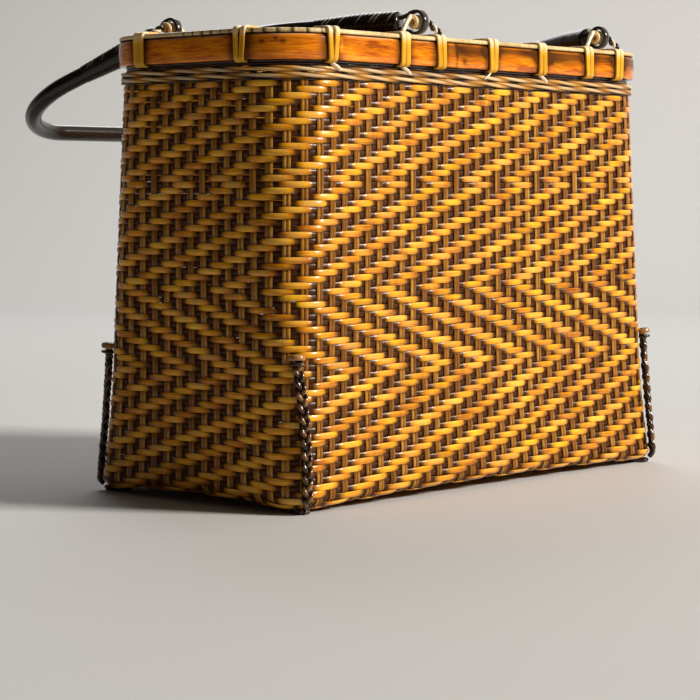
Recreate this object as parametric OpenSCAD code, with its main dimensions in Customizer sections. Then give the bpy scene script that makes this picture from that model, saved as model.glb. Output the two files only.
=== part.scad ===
// Bamboo handbag: a twill-woven basket body with a lashed bamboo rim, plaited corner guards and
// two cane-wrapped swing handles. Millimetres, +Z up. The origin is on the table under the middle
// of the base, +X runs along the long front face and -Y faces the front.

/* [Body] */
// Length of the body just above the base
base_length = 299; // [260:1:340]
// Depth of the body just above the base
base_depth = 145; // [125:1:165]
// Corner radius at the base
base_corner = 13; // [10:1:18]
// Height of the waist, where the flare of the base ends
waist_height = 76; // [60:1:95]
// Length of the body at the waist
waist_length = 297; // [260:1:340]
// Depth of the body at the waist
waist_depth = 134.5; // [120:0.5:150]
// Corner radius at the waist
waist_corner = 19; // [14:1:26]
// Length of the woven wall at the mouth
mouth_length = 299.6; // [270:0.2:330]
// Depth of the woven wall at the mouth
mouth_depth = 130.4; // [120:0.2:140]
// Corner radius of the woven wall at the mouth
mouth_corner = 34; // [28:1:40]
// Thickness of the woven wall
wall = 3; // [2.4:0.1:4]
// Radius of the bottom edge
bottom_edge = 5; // [4:0.5:8]
// Height that the corner feet lift the base
base_lift = 3; // [2.4:0.1:4]
// Rise of the bottom edge between two corners
base_arch = 2.5; // [0:0.1:4]

/* [Weave] */
// Stakes along a long side
stakes_long = 24; // [16:1:24]
// Stakes along a short side
stakes_short = 8; // [6:1:8]
// Stakes round a corner
stakes_corner = 4; // [3:1:4]
// Rows of weaver strips
weft_rows = 54; // [40:1:56]
// Height that a strip stands out where it passes over the stakes
weft_relief = 0.8; // [0.4:0.1:1.2]
// Height at which the twill turns back the first time
twill_turn_low = 65; // [40:1:80]
// Height at which the twill turns back the second time
twill_turn_high = 105; // [90:1:130]
// Height of the row where the twill skips a step
twill_skip = 158; // [140:1:180]
// Height of the top of the weave, where the twined border begins
weave_top = 205.5; // [195:0.5:206]

/* [Border] */
// Thickness of a twined cord
twine_d = 2.8; // [2.4:0.1:3]
// Height of the lower twined cord
twine_low = 208.2; // [207:0.1:208.4]
// Gap between the twined cords
twine_gap = 0.2; // [0.1:0.1:0.6]
// Turn of the twine from one stake to the next, in degrees
twine_turn = 54; // [30:1:70]

/* [Rim] */
// Height of the lower edge of the hoops
hoop_bottom = 215.5; // [215:0.1:217]
// Height of the two hoops
hoop_height = 12.3; // [11:0.1:15]
// Thickness of a hoop
hoop_thick = 3.4; // [2.6:0.1:4]
// Radius of the hoop edges
hoop_edge = 0.9; // [0.4:0.1:1.1]
// Gap between a hoop and the wall
hoop_gap = 0.15; // [0.1:0.05:0.4]
// Height of the cane that covers the rim
cane_height = 2.5; // [1.6:0.1:3]
// Length that the cane stands past the inner hoop
cane_overhang = 0.8; // [0.4:0.1:1.2]

/* [Lashings] */
// Width of one lashing strand
lash_width = 3.6; // [2.6:0.1:4.2]
// Thickness of a lashing strand
lash_thick = 1.1; // [0.7:0.1:1.5]
// Gap between the two strands of a lashing
lash_split = 0.3; // [0.2:0.1:0.8]
// Gap between a lashing and the rim it binds
lash_gap = 0.25; // [0.15:0.05:0.5]
// Distance of the corner lashing past the end of the straight rim
lash_corner = 5; // [0:0.5:8]
// Distance from the middle of an end to its first lashing
lash_end = 31; // [20:1:34]
// Distance from the middle of an end to its second lashing
lash_end_far = 37; // [24:1:40]

/* [Corner braids] */
// Diameter of one braid strand
braid_strand = 2.5; // [2:0.1:2.8]
// Height of the top of a braid
braid_top = 77; // [60:1:90]
// Height of one full twist of a braid
braid_pitch = 13; // [10:0.5:18]
// Gap between a braid and the wall
braid_gap = 0.5; // [0.3:0.1:1]
// Diameter of a binding strand at the top of a braid
bind_strand = 2.2; // [1.6:0.1:2.6]
// Place of a braid's lower end round its corner, in degrees from the end of the bag to its side
braid_turn_low = 60; // [40:1:70]
// Place of a braid's upper end round its corner, in degrees from the end of the bag to its side
braid_turn_top = 50; // [40:1:70]
// Length that the lower end of a braid bends in under the corner
braid_tuck = 4; // [2:0.5:4.5]
// Width of a corner foot
foot_width = 6.4; // [5:0.1:8]
// Length of a corner foot under the base
foot_length = 11; // [8:0.5:16]
// Distance from the line of a braid in to its foot
foot_inset = 5.5; // [3:0.5:7]
// Gap over and beside a seated piece
seat_gap = 0.15; // [0.1:0.05:0.4]

/* [Handles] */
// Distance of the hinge axes inside the outer face of the wall at the mouth
hinge_inset = 0.2; // [-1:0.1:3]
// Half the distance between the two eyes of a handle
eye_span = 77; // [60:1:84]
// Sideways shift of each handle, front to the right and back to the left
handle_shift = 22; // [0:1:26]
// Height from the hinge axis to the middle of the grip
handle_height = 117; // [108:1:118]
// Outward lean of the handle legs, in degrees
leg_flare = 21; // [4:1:24]
// Bend radius of the handle corners
handle_bend = 42; // [30:1:50]
// Diameter of the wrapped grip
grip_d = 8.8; // [7.6:0.1:9.2]
// Step from the bends of the grip to its straight runs
bend_step = 0.06; // [0.04:0.01:0.2]
// Length that a straight run laps over a bend
bend_lap = 0.6; // [0.4:0.1:1]
// Diameter of the grip's tenons in the end bindings
core_d = 6.4; // [5:0.1:7]
// Clearance of an end binding on its tenon
wrap_fit = 0.05; // [0.02:0.01:0.1]
// Diameter of the end binding at its thick end
end_d = 12.4; // [10.6:0.1:12.8]
// Length of the end binding
end_length = 46; // [30:1:50]
// Least bare length of a leg between its end binding and the bend
end_bare = 4; // [2:0.5:10]
// Distance from the hinge axis to the end binding
end_start = 8.4; // [8:0.1:10]
// Turns of cane in an end binding
end_turns = 11; // [6:1:14]
// Depth of the grooves between the turns
end_groove = 0.3; // [0.1:0.05:0.5]
// Outer diameter of the eyes
eye_d = 12; // [11:0.1:12.2]
// Strip thickness of the eyes
eye_strip = 1.8; // [1.4:0.1:2.2]
// Width of the eyes along the hinge
eye_width = 4.6; // [3.6:0.1:6]
// Clearance of an eye over the rim
eye_lift = 0.7; // [0.5:0.1:2]
// Slope of the front handle where it lies across the mouth, in degrees
front_droop = 2.4; // [0:0.1:2.6]
// Gap between the front handle and what it lies against
rest_gap = 0.12; // [0.1:0.01:0.5]
// Slope of the back handle where it hangs outside, in degrees
back_droop = 26; // [10:0.5:27]

/* [Handle ties] */
// Clearance of the tie in its eye
tie_fit = 0.3; // [0.2:0.05:0.6]
// Length of the wound bundle in an eye
tie_length = 13; // [9:0.5:15]
// Diameter of a tie strand
tie_strand = 2.6; // [2:0.1:3]
// Distance from an eye to the lashings that its tie runs to
tie_reach = 14; // [12:0.5:18]

/* [Hidden] */
$fn = 48;

amber = "#C98A24";
straw = "#DCC99A";
chestnut = "#B4611C";
gold = "#DDB453";
dark_cane = "#2E1B12";
black_cane = "#17110E";

hoop_top = hoop_bottom + hoop_height;
rim_top = hoop_top + seat_gap + cane_height;
wall_top = hoop_top - seat_gap;
hinge_z = rim_top + eye_d / 2 + eye_lift;
rim_out = hoop_gap + hoop_thick;
rim_in = wall + hoop_gap + hoop_thick;
mouth_a = mouth_length / 2;
mouth_b = mouth_depth / 2;
hinge_y = mouth_b - hinge_inset;
lash_top = rim_top + lash_gap + lash_thick;

// The body outline: half sizes and corner radius of a rounded rectangle at a height
flare_power = 1.6;
function low_share(z) = pow(max(0, 1 - z / waist_height), flare_power);
function high_share(z) = max(0, (z - waist_height) / (hoop_bottom - waist_height));
function blend3(z, base, waist, mouth) =
    waist + (base - waist) * low_share(z) + (mouth - waist) * min(1, high_share(z));
function half_x(z) = blend3(z, base_length, waist_length, mouth_length) / 2;
function half_y(z) = blend3(z, base_depth, waist_depth, mouth_depth) / 2;
function corner_r(z) = blend3(z, base_corner, waist_corner, mouth_corner);

// Points of half an outline, anticlockwise from the left end of the front face
function half_outline(a, b, r) = concat(
    [for (i = [0 : stakes_long - 1]) [(a - r) * (2 * i / stakes_long - 1), -b]],
    [for (i = [0 : stakes_corner - 1]) let (t = 90 * i / stakes_corner)
        [a - r + r * sin(t), -(b - r) - r * cos(t)]],
    [for (i = [0 : stakes_short - 1]) [a, (b - r) * (2 * i / stakes_short - 1)]],
    [for (i = [0 : stakes_corner - 1]) let (t = 90 * i / stakes_corner)
        [a - r + r * cos(t), b - r + r * sin(t)]]);
stakes_half = stakes_long + stakes_short + 2 * stakes_corner;
stakes = 2 * stakes_half;
function outline(a, b, r) = let (half = half_outline(a, b, r)) concat(half, [for (p = half) -p]);

// Share of the base arch at a stake: none at the corners, all in the middle of a side
function bow(i, n) = 1 - pow(2 * i / n - 1, 2);
half_arch = concat(
    [for (i = [0 : stakes_long - 1]) bow(i, stakes_long)],
    [for (i = [0 : stakes_corner - 1]) 0],
    [for (i = [0 : stakes_short - 1]) bow(i, stakes_short)],
    [for (i = [0 : stakes_corner - 1]) 0]);
arch = concat(half_arch, half_arch);
function lift(k, z) = base_arch * arch[k] * max(0, 1 - z / waist_height);

// The twill: each strip passes over two stakes and under two, one stake on from row to row
weave_bottom = base_lift + bottom_edge;
row_pitch = (weave_top - weave_bottom) / weft_rows;
turn_low = round((twill_turn_low - weave_bottom) / row_pitch);
turn_high = round((twill_turn_high - weave_bottom) / row_pitch);
skip_row = round((twill_skip - weave_bottom) / row_pitch);
function twill_step(j) =
    j - 2 * min(max(j - turn_low, 0), turn_high - turn_low) + (j >= skip_row ? 2 : 0);
function modulo4(n) = n - 4 * floor(n / 4);
function weft_over(k, j) = modulo4(k - twill_step(j)) < 2;

// One ring of wall points at height z, moved out by the list of reliefs
function wall_ring(z, reliefs) = let (
        a = half_x(z), b = half_y(z), r = corner_r(z),
        near = outline(a, b, r),
        out = outline(a + 1, b + 1, r + 1))
    [for (k = [0 : stakes - 1]) let (p = near[k] + (out[k] - near[k]) * reliefs[k])
        [p[0], p[1], z + lift(k, z)]];
function even(d) = [for (k = [0 : stakes - 1]) d];
edge_steps = 3;
flare_steps = 3;
floor_z = base_lift + base_arch + wall;
inner_low = floor_z + bottom_edge;
flare_heights = [for (i = [0 : flare_steps]) waist_height + (inner_low - waist_height) * i / flare_steps];
// At the corners the wall's flats stay outside the true curve of the inner hoop
corner_ease = (mouth_corner - wall) * (1 / cos(45 / stakes_corner) - 1);
hoop_seat = [for (k = [0 : stakes - 1]) arch[k] == 0 ? corner_ease - wall : -wall];
bottom_rings = [for (i = [0 : edge_steps - 1]) let (t = 90 * i / edge_steps)
    wall_ring(base_lift + bottom_edge * (1 - cos(t)), even(bottom_edge * (sin(t) - 1)))];
weave_rings = [for (j = [0 : weft_rows])
    wall_ring(weave_bottom + j * row_pitch,
        [for (k = [0 : stakes - 1]) weft_over(k, j) && j < weft_rows ? weft_relief : 0])];
top_rings = [wall_ring(hoop_bottom, even(0)), wall_ring(wall_top, even(0))];
inner_rings = concat(
    [for (z = [wall_top, hoop_bottom]) wall_ring(z, hoop_seat)],
    [for (z = flare_heights) wall_ring(z, even(-wall))]);
floor_ring = wall_ring(floor_z, even(-wall - bottom_edge / 2));

// Triangles between rings of equal length, and a fan that closes a ring
function skin(rings, n, first = 0) = [for (i = [0 : rings - 2], k = [0 : n - 1]) let (
        a = first + i * n + k, b = first + i * n + (k + 1) % n, c = b + n, d = a + n)
    each (i + k) % 2 == 0 ? [[a, d, c], [a, c, b]] : [[a, d, b], [d, c, b]]];
function joined(rings) = [for (ring = rings) each ring];

module woven_body() {
    rings = concat(bottom_rings, weave_rings, top_rings, inner_rings, [floor_ring]);
    points = concat(joined(rings), [[0, 0, base_lift + base_arch], [0, 0, floor_z]]);
    low = len(points) - 2;
    last = (len(rings) - 1) * stakes;
    fan_low = [for (k = [0 : stakes - 1]) [k, (k + 1) % stakes, low]];
    fan_floor = [for (k = [0 : stakes - 1]) [last + (k + 1) % stakes, last + k, low + 1]];
    color(amber)
        polyhedron(points, concat(skin(len(rings), stakes), fan_low, fan_floor));
}

// A closed cord that follows the wall at height z and twists as it goes
twine_sides = 5;
twine_oval = 0.14;
function twine_ring(k, z, near, out) = let (
        n = out[k] - near[k], mid = near[k] + n * (twine_d / 2 + seat_gap))
    [for (m = [0 : twine_sides - 1]) let (
            t = 360 * m / twine_sides, s = t - k * twine_turn,
            d = twine_d / 2 * (1 - twine_oval + twine_oval * cos(2 * s)))
        [mid[0] + n[0] * d * cos(t), mid[1] + n[1] * d * cos(t), z + d * sin(t)]];
module twine(z) {
    near = outline(half_x(z), half_y(z), corner_r(z));
    out = outline(half_x(z) + 1, half_y(z) + 1, corner_r(z) + 1);
    rings = [for (k = [0 : stakes - 1]) twine_ring(k, z, near, out)];
    side = [for (k = [0 : stakes - 1], m = [0 : twine_sides - 1]) let (
            a = k * twine_sides + m, b = k * twine_sides + (m + 1) % twine_sides,
            d = ((k + 1) % stakes) * twine_sides + m,
            c = ((k + 1) % stakes) * twine_sides + (m + 1) % twine_sides)
        each [[a, b, c], [a, c, d]]];
    polyhedron(joined(rings), side);
}
module twined_border() {
    color(gold) {
        twine(twine_low);
        twine(twine_low + twine_d + twine_gap);
    }
}

// Sweeps a profile round the mouth; its X is the distance out from the wall's outer face
module rim_sweep() {
    for (turn = [0, 180]) rotate([0, 0, turn]) {
        translate([mouth_a, mouth_b - mouth_corner, 0]) rotate([90, 0, 0])
            linear_extrude(mouth_depth - 2 * mouth_corner) children();
        translate([mouth_a - mouth_corner, -mouth_b, 0]) rotate([90, 0, -90])
            linear_extrude(mouth_length - 2 * mouth_corner) children();
        translate([mouth_a - mouth_corner, mouth_b - mouth_corner, 0])
            rotate_extrude(angle = 90) translate([mouth_corner, 0]) children();
        translate([mouth_a - mouth_corner, mouth_corner - mouth_b, 0]) rotate([0, 0, -90])
            rotate_extrude(angle = 90) translate([mouth_corner, 0]) children();
    }
}

// A rectangle from low to high with round corners
module rounded(low, high, r) {
    size = high - low;
    translate(low + [r, 0]) square([size[0] - 2 * r, size[1]]);
    translate(low + [0, r]) square([size[0], size[1] - 2 * r]);
    for (x = [low[0] + r, high[0] - r], y = [low[1] + r, high[1] - r])
        translate([x, y]) circle(r);
}
module rim_outer_hoop() {
    color(chestnut) rim_sweep()
        rounded([hoop_gap, hoop_bottom], [rim_out, hoop_top], hoop_edge);
}
module rim_inner_hoop() {
    color(chestnut) rim_sweep()
        rounded([-rim_in, hoop_bottom], [hoop_thick - rim_in, hoop_top], hoop_edge);
}
// The cane is flat below and crowned on top
cane_flat = 0.01;
module rim_top_cane() {
    left = -rim_in - cane_overhang;
    color(straw) rim_sweep() {
        translate([left, hoop_top + seat_gap]) square([rim_out - left, cane_height / 2]);
        rounded([left, hoop_top + seat_gap], [rim_out, rim_top], cane_height / 2 - cane_flat);
    }
}

// Places children on the rim at distance x along a side; +Y there points out of the bag
module on_rim(x, half, depth) {
    straight = half - mouth_corner;
    past = max(0, abs(x) - straight);
    t = asin(min(1, past / mouth_corner)) * sign(x);
    translate([max(-straight, min(straight, x)) + mouth_corner * sin(t),
               -(depth - mouth_corner) - mouth_corner * cos(t), 0])
        rotate([0, 0, t]) mirror([0, 1, 0]) children();
}
// A pair of strands over the rim, open below where the wall passes through
module lashing() {
    low = [-rim_in - cane_overhang - lash_gap, hoop_bottom - lash_gap];
    high = [rim_out + lash_gap, rim_top + lash_gap];
    edge = [lash_thick, lash_thick];
    for (side = [-1, 1])
        translate([side * (lash_width + lash_split) / 2 + lash_width / 2, 0, 0]) rotate([90, 0, -90])
            linear_extrude(lash_width) mirror([1, 0]) difference() {
                rounded(low - edge, high + edge, lash_thick + hoop_edge);
                rounded(low, high, hoop_edge);
                translate([-wall - hoop_gap, low[1] - 2 * lash_thick])
                    square([wall + 2 * hoop_gap, 3 * lash_thick]);
            }
}
eye_left = handle_shift - eye_span;
eye_right = handle_shift + eye_span;
inner_left = eye_left + tie_reach;
inner_right = eye_right - tie_reach;
lash_spots = [
    mouth_corner - mouth_a - lash_corner, eye_left - tie_reach, inner_left,
    inner_left + (inner_right - inner_left) / 3, inner_right - (inner_right - inner_left) / 3,
    inner_right, eye_right + tie_reach
];
module rim_lashings() {
    color(gold) for (turn = [0, 180]) rotate([0, 0, turn]) {
        for (x = lash_spots) on_rim(x, mouth_a, mouth_b) lashing();
        rotate([0, 0, -90]) for (x = [-lash_end, lash_end_far]) on_rim(x, mouth_b, mouth_a) lashing();
    }
}

// A corner braid leans on the wall from the tuck at its foot to its top; turn is its place round the corner
function corner_point(z, out, turn) = let (r = corner_r(z))
    [half_x(z) - r + (r + out) * cos(turn), half_y(z) - r + (r + out) * sin(turn), z];
braid_out = braid_strand + braid_gap + weft_relief;
braid_low = base_lift;
braid_a = corner_point(braid_low, braid_out, braid_turn_low);
braid_b = corner_point(braid_top - braid_strand / 2, braid_out, braid_turn_top);
braid_rings = 31;
braid_sides = 5;
strand_slack = 0.05;
across = [1, -1, 0] / sqrt(2);
outward = [1, 1, 0] / sqrt(2);
tuck_way = [cos(braid_turn_low), sin(braid_turn_low), 0];
function tuck(z) = let (d = max(0, braid_low + braid_tuck - z))
    braid_tuck - sqrt(max(0, braid_tuck * braid_tuck - d * d));
function braid_axis(s) = let (p = braid_a + (braid_b - braid_a) * s) p - tuck_way * tuck(p[2]);
function braid_ring(s, phase) = let (
        t = 360 * s * (braid_top - braid_low) / braid_pitch + phase,
        mid = braid_axis(s) + (across * cos(t) + outward * sin(t)) * braid_strand / 2)
    [for (m = [0 : braid_sides - 1]) let (u = 360 * m / braid_sides)
        mid + (across * cos(u) + outward * sin(u)) * (braid_strand / 2 - strand_slack)];
module braid() {
    for (phase = [0, 180]) {
        rings = [for (i = [0 : braid_rings - 1]) braid_ring(i / (braid_rings - 1), phase)];
        top = (braid_rings - 1) * braid_sides;
        polyhedron(joined(rings), concat(
            [for (i = [0 : braid_rings - 2], m = [0 : braid_sides - 1]) let (
                    a = i * braid_sides + m, b = i * braid_sides + (m + 1) % braid_sides)
                each [[a, b, b + braid_sides], [a, b + braid_sides, a + braid_sides]]],
            [[for (m = [0 : braid_sides - 1]) braid_sides - 1 - m]],
            [[for (m = [0 : braid_sides - 1]) top + m]]));
    }
}
// Copies of the back right corner: mirrored to the left or to the front
module to_corner(left, front) {
    mirror([left, 0, 0]) mirror([0, front, 0]) children();
}
module corner_braid(left, front) {
    color(dark_cane) to_corner(left, front) braid();
}
// A turn of cane round the braid's top, with both ends run to the wall
bind_r = braid_strand + seat_gap + bind_strand / 2;
bind_drop = 5;
bind_sweep = 250;
module corner_braid_bindings() {
    share = 1 - bind_drop / (braid_b[2] - braid_a[2]);
    color(dark_cane) for (left = [0, 1], front = [0, 1]) to_corner(left, front)
        translate(braid_axis(share)) rotate([0, 0, braid_turn_top - bind_sweep / 2])
            rotate_extrude(angle = bind_sweep) translate([bind_r, 0]) circle(bind_strand / 2);
}
// The tucked-under end of each braid makes a low foot that runs in under the base
foot_height = base_lift - seat_gap;
module corner_feet() {
    color(dark_cane) for (left = [0, 1], front = [0, 1]) to_corner(left, front)
        translate([braid_a[0], braid_a[1], 0]) rotate([0, 0, braid_turn_low]) linear_extrude(foot_height) {
            translate([-foot_inset - foot_length, -foot_width / 2]) square([foot_length, foot_width]);
            for (x = [0, foot_length]) translate([-foot_inset - x, 0]) circle(foot_width / 2);
        }
}

// A rod from one point to another with round ends
module rod(from, to, d) {
    v = to - from;
    translate(from) rotate([0, acos(v[2] / norm(v)), atan2(v[1], v[0])]) cylinder(d = d, h = norm(v));
    translate(from) sphere(d = d);
    translate(to) sphere(d = d);
}
// The wound bundle through an eye and its two strands down to the lashings
tie_d = eye_d - 2 * eye_strip - 2 * tie_fit;
strand_low = lash_top + seat_gap + tie_strand / 2;
module handle_tie(back, x) {
    color(gold) rotate([0, 0, back * 180]) translate([x, -hinge_y, hinge_z]) {
        rotate([0, 90, 0]) cylinder(d = tie_d, h = tie_length, center = true);
        for (side = [-1, 1])
            rod([side * (tie_length - tie_strand) / 2, 0, 0],
                [side * tie_reach, 0, strand_low - hinge_z], tie_strand);
    }
}

// A handle lies in its own plane: X along the hinge and Y away from it
leg_room = (end_start + end_length + end_bare) * cos(leg_flare);
bend_r = min(handle_bend, (handle_height - leg_room) / (1 + sin(leg_flare)));
bend_y = handle_height - bend_r;
leg_end_y = bend_y - bend_r * sin(leg_flare);
leg_end_x = eye_span + leg_end_y * tan(leg_flare);
bend_x = leg_end_x - bend_r * cos(leg_flare);
leg_length = leg_end_y / cos(leg_flare);
tail_length = 8;
tail_end = end_start + tail_length;
module on_leg(side) {
    translate([side * eye_span, 0, 0]) rotate([-90, 0, -side * leg_flare]) children();
}
// The front handle lies in the mouth where it fits, or else across the eyes of the back handle
grip_r = grip_d / 2 + bend_step;
mouth_reach = hinge_y + mouth_b - rim_in - cane_overhang - lash_gap - lash_thick - grip_r - rest_gap;
over_eyes = asin((eye_d / 2 + grip_r + rest_gap) / handle_height);
front_slope = handle_height * cos(front_droop) <= mouth_reach ? front_droop : -over_eyes;
module place_handle(back) {
    translate([back ? -handle_shift : handle_shift, back ? hinge_y : -hinge_y, hinge_z])
        rotate([back ? -back_droop : -front_slope, 0, 0]) children();
}
// The bent grip: its straight runs are a hair thicker than the bends and close over their ends
grip_start = end_start + end_length + seat_gap;
bore_d = core_d + 2 * wrap_fit;
module grip_run(h, d) {
    translate([0, 0, -bend_lap]) cylinder(d = d, h = h + bend_lap);
}
module grip_side() {
    translate([bend_x, bend_y, 0]) rotate([0, 0, -leg_flare]) {
        rotate_extrude(angle = 90 + leg_flare) translate([bend_r, 0]) circle(d = grip_d);
        translate([bend_r, 0, 0]) rotate([90, 0, 0]) {
            grip_run(leg_length - grip_start, 2 * grip_r);
            grip_run(leg_length - tail_end - seat_gap, core_d);
        }
    }
}
module handle_grip(back) {
    color(black_cane) place_handle(back) {
        for (flip = [0, 1]) mirror([flip, 0, 0]) grip_side();
        translate([-bend_x - bend_lap, handle_height, 0]) rotate([0, 90, 0])
            cylinder(r = grip_r, h = 2 * (bend_x + bend_lap));
    }
}
// The end binding is a taper of cane turns over the core and the tail of the eye
turn_length = end_length / end_turns;
thick_share = 0.45;
thin_d = grip_d + 2 * end_groove;
function taper(s) = max(0, s / end_length - thick_share) / (1 - thick_share);
function end_r(s) = (end_d - (end_d - thin_d) * taper(s)) / 2;
module handle_end_binding(back, side) {
    turns = [for (i = [0 : end_turns - 1]) let (s = i * turn_length)
        each [[end_r(s) - end_groove, s], [end_r(s), s + turn_length * 0.25],
              [end_r(s), s + turn_length * 0.75]]];
    color(black_cane) place_handle(back) on_leg(side) translate([0, 0, end_start])
        rotate_extrude() polygon(concat([[bore_d / 2, 0]], turns,
            [[end_r(end_length) - end_groove, end_length], [bore_d / 2, end_length]]));
}
// The eye is a bent strip; its tail runs under the end binding
module handle_eye(back, side) {
    color(black_cane) place_handle(back) difference() {
        union() {
            translate([side * eye_span, 0, 0]) rotate([0, 90, 0])
                cylinder(d = eye_d, h = eye_width, center = true);
            on_leg(side) translate([0, 0, eye_d / 2 - eye_strip / 2])
                cylinder(d = core_d, h = tail_end - eye_d / 2 + eye_strip / 2);
        }
        translate([side * eye_span, 0, 0]) rotate([0, 90, 0])
            cylinder(d = eye_d - 2 * eye_strip, h = 4 * eye_width, center = true);
    }
}

woven_body();
twined_border();
rim_outer_hoop();
rim_inner_hoop();
rim_top_cane();
rim_lashings();
corner_braid(1, 1);  // corner_braid_front_left
corner_braid(0, 1);  // corner_braid_front_right
corner_braid(1, 0);  // corner_braid_back_left
corner_braid(0, 0);  // corner_braid_back_right
corner_braid_bindings();
corner_feet();
handle_tie(0, eye_left);  // handle_tie_front_left
handle_tie(0, eye_right);  // handle_tie_front_right
handle_tie(1, eye_right);  // handle_tie_back_left
handle_tie(1, eye_left);  // handle_tie_back_right
handle_grip(false);  // front_handle_grip
handle_end_binding(false, -1);  // front_handle_end_binding_left
handle_end_binding(false, 1);  // front_handle_end_binding_right
handle_eye(false, -1);  // front_handle_eye_left
handle_eye(false, 1);  // front_handle_eye_right
handle_grip(true);  // back_handle_grip
handle_end_binding(true, -1);  // back_handle_end_binding_left
handle_end_binding(true, 1);  // back_handle_end_binding_right
handle_eye(true, -1);  // back_handle_eye_left
handle_eye(true, 1);  // back_handle_eye_right
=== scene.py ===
import math
import bpy
import numpy as np
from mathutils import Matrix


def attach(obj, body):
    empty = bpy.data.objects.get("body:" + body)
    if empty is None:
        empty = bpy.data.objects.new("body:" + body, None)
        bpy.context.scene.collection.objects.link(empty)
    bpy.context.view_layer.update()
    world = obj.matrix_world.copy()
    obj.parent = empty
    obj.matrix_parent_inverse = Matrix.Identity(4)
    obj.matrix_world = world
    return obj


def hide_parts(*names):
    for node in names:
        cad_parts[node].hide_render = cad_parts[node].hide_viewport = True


# Bamboo handbag: every strip, strand and turn of cane is built here in millimetres and set down in metres.
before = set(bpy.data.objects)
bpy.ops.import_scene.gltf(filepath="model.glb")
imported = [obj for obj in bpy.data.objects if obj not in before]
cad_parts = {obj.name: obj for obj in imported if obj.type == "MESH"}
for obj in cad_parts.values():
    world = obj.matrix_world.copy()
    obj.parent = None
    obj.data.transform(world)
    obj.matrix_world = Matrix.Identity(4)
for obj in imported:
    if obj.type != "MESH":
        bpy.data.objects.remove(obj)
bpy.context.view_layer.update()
chance = np.random.default_rng(11)  # one seeded source for all small irregularities
millimetre = 0.001
quarterTurn = math.pi / 2
halfTurn = math.pi
fullTurn = 2 * math.pi
upright = np.array([0.0, 0.0, 1.0])
print("frame loaded")


# Mesh helpers

meshing = {"creaseAngle": 62, "curveStep": 0.05, "tipScale": 0.35, "nearlyUpright": 0.9}


def sweepStrip(path, side, up, profile, fibre, age, closed=False):
    # profile holds (along side, along up) for each point, and fibre is (way along, seed)
    # the tone value is below 0 where a strip is dark and above 0 where it is pale; it carries the strip's
    # own tone, wear and marks and also painted shade and painted highlights
    count = len(path)
    profile = np.broadcast_to(profile, (count,) + np.shape(profile)[-2:])
    width = profile.shape[1]
    ring = path[:, None] + side[:, None] * profile[..., :1] + up[:, None] * profile[..., 1:]
    points = ring.reshape(-1, 3)
    along = np.arange(count if closed else count - 1)[:, None]
    across = np.arange(width)[None]
    onward = (across + 1) % width
    ahead = (along + 1) % count
    quads = np.stack([along * width + across, along * width + onward,
                      ahead * width + onward, ahead * width + across], -1).reshape(-1, 4)
    girth = np.cumsum(np.linalg.norm(np.diff(profile[0], axis=0, prepend=profile[0][:1]), axis=1))
    marks = np.broadcast_arrays(np.asarray(fibre[0], float)[:, None], girth[None], float(fibre[1]))
    marks = np.stack(marks, -1).reshape(-1, 3)
    age = np.broadcast_to(age, (count, width)).reshape(-1)
    caps = np.zeros((0, 3), int)
    if not closed:
        first = len(points)
        points = np.concatenate([points, ring[[0, -1]].mean(1)])
        marks = np.concatenate([marks, marks[[0, -1]]])
        age = np.concatenate([age, age[[0, -1]]])
        flat = np.arange(width)
        after = (flat + 1) % width
        last = (count - 1) * width
        caps = np.concatenate([np.stack([np.full(width, first), after, flat], -1),
                               np.stack([np.full(width, first + 1), last + flat, last + after], -1)])
    corners = points[quads]
    volume = np.einsum("ij,ij->", corners[:, 0] + corners[:, 2],
                       np.cross(corners[:, 1] - corners[:, 0], corners[:, 3] - corners[:, 0]))
    if volume < 0:
        quads = quads[:, ::-1]
        caps = caps[:, ::-1]
    return {"points": points, "quads": quads, "caps": caps, "fibre": marks, "age": age}


def newObject(name, data):
    thing = bpy.data.objects.new(name, data)
    bpy.context.scene.collection.objects.link(thing)
    return thing


def addPiece(name, parts, finish, body, nodes, crisp=False):
    starts = np.cumsum([0] + [len(part["points"]) for part in parts[:-1]])

    def joined(key):
        return np.concatenate([part[key] for part in parts])

    def joinedFaces(key):
        return np.concatenate([part[key] + start for part, start in zip(parts, starts)])

    points = joined("points") * millimetre
    quads = joinedFaces("quads")
    caps = joinedFaces("caps")
    mesh = bpy.data.meshes.new(name)
    mesh.from_pydata(points.tolist(), [], quads.tolist() + caps.tolist())
    mesh.polygons.foreach_set("use_smooth", np.ones(len(mesh.polygons), bool))
    if crisp:
        mesh.set_sharp_from_angle(angle=math.radians(meshing["creaseAngle"]))
    fibre = mesh.attributes.new("fibre", "FLOAT_VECTOR", "POINT")
    fibre.data.foreach_set("vector", joined("fibre").astype(np.float32).ravel())
    age = mesh.attributes.new("age", "FLOAT", "POINT")
    age.data.foreach_set("value", joined("age").astype(np.float32))
    mesh.materials.append(finish)
    piece = newObject(name, mesh)
    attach(piece, body)
    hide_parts(*nodes)
    print("piece", name, len(quads) * 2 + len(caps), "triangles")


def unit(vectors):
    return vectors / np.linalg.norm(vectors, axis=-1, keepdims=True)


def repeated(vector, count):
    return np.tile(vector, (count, 1))


def wayAlong(path):
    steps = np.linalg.norm(np.diff(path, axis=0), axis=1)
    return np.concatenate([[0.0], np.cumsum(steps)])


def filleted(corners, radius, steps):
    # a line through the corners with each inner corner rounded
    corners = [np.asarray(corner, float) for corner in corners]
    path = [corners[0]]
    for before, corner, after in zip(corners[:-2], corners[1:-1], corners[2:]):
        back = unit(before - corner)
        ahead = unit(after - corner)
        half = math.acos(np.clip(back @ ahead, -1, 1)) / 2
        middle = corner + unit(back + ahead) * radius / math.sin(half)
        begin = corner + back * radius / math.tan(half) - middle
        sweep = halfTurn - 2 * half
        for turn in np.linspace(0, sweep, steps + 1):
            path.append(middle + begin * math.cos(turn) - back * radius * math.sin(turn))
    path.append(corners[-1])
    return np.array(path)


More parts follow.
